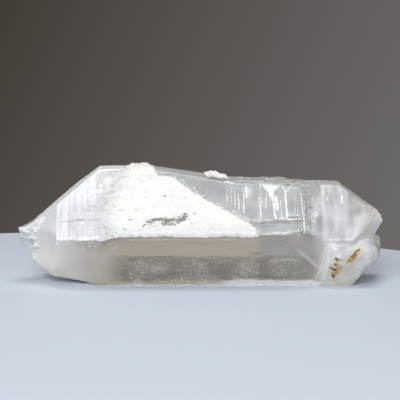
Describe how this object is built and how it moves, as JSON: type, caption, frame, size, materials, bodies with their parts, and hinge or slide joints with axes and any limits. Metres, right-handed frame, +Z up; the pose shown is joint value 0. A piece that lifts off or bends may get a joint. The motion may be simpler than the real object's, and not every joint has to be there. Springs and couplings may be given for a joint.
{
  "type": "double terminated quartz crystal",
  "caption": "Clear to cloudy quartz crystal pointed at both ends, lying on a prism face, with white crust and a small stained crystal at one end.",
  "frame": {"origin": "on the surface that the crystal rests on, under the middle of its box", "axes": "+X along the crystal's c axis towards the end with the small stained crystal, +Z up, the crusted side faces -Y"},
  "size_m": [0.11, 0.0314, 0.0367],
  "materials": {
    "clear_quartz": "gloss",
    "chalky_crust": "matte"
  },
  "bodies": {
    "root": {"quartz_crystal": "clear_quartz", "white_crust": "chalky_crust", "crust_lump": "chalky_crust"}
  },
  "joints": []
}
